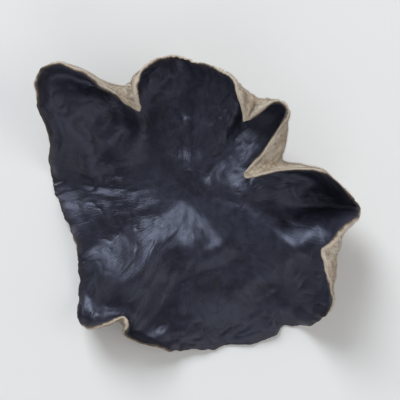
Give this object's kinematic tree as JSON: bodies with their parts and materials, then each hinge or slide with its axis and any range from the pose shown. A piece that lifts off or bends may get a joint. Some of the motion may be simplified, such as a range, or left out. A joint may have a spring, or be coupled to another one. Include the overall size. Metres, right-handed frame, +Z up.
{
  "type": "dried wood ear mushroom",
  "caption": "Thin, crumpled, leathery dried wood ear, dark satin face up, pale velvety back, lobed rim rolled up in places, flat cut under the middle.",
  "frame": {"origin": "on the surface the ear lies on, below the middle of its bounding box", "axes": "+Z up out of the dark face, +X towards the pointed side lobe, +Y towards the two raised lobes"},
  "size_m": [0.0794, 0.0742, 0.0258],
  "materials": {
    "dark_face": "brown-black satin skin with a faint bluish bloom",
    "pale_back": "matt grey-tan down, like short velvet"
  },
  "bodies": {
    "root": {"wood_ear": "dark_face"}
  },
  "joints": []
}
